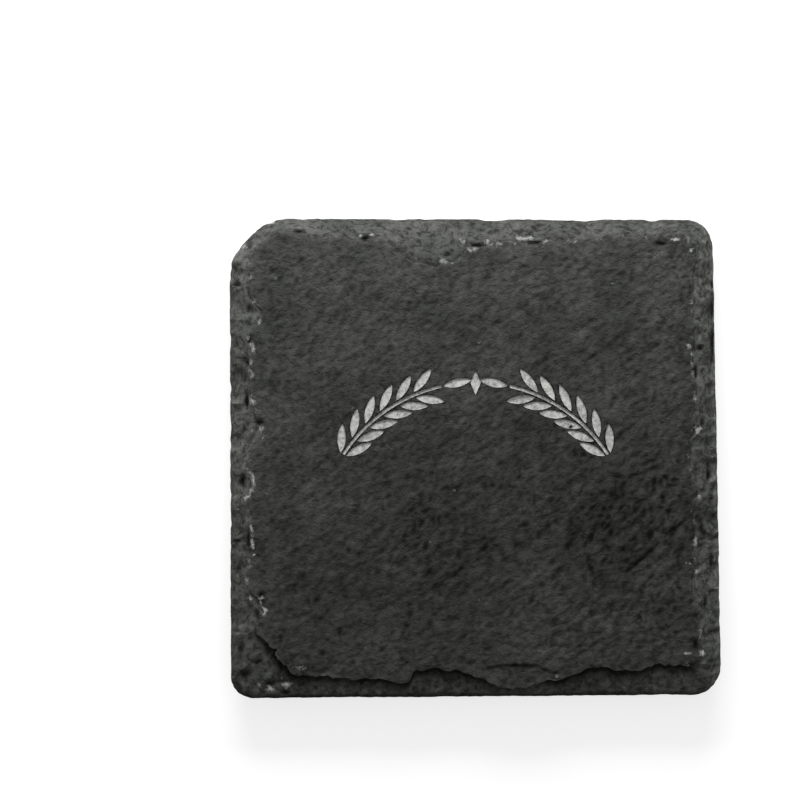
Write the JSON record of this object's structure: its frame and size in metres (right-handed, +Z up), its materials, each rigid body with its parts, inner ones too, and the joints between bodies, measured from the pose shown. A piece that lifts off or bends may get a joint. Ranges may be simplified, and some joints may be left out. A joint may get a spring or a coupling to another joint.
{
  "type": "drink coaster",
  "caption": "Square slate drink coaster with hand-broken edges and a shallow engraved leaf arch, on round foam feet.",
  "frame": {"origin": "on the table, under the middle of the slab", "axes": "+Z up out of the engraved top face, +X to the right and +Y to the back as the engraved arch is read"},
  "size_m": [0.0997, 0.0974, 0.0087],
  "materials": {
    "slate": "matt natural cleft",
    "foam": "matt closed-cell foam",
    "adhesive": "satin film"
  },
  "bodies": {
    "root": {"slate_slab": "slate", "foam_pad_front_left": "foam", "foam_pad_front_right": "foam", "foam_pad_back_right": "foam", "foam_pad_back_left": "foam", "adhesive_disc_front_left": "adhesive", "adhesive_disc_front_right": "adhesive", "adhesive_disc_back_right": "adhesive", "adhesive_disc_back_left": "adhesive"}
  },
  "joints": []
}
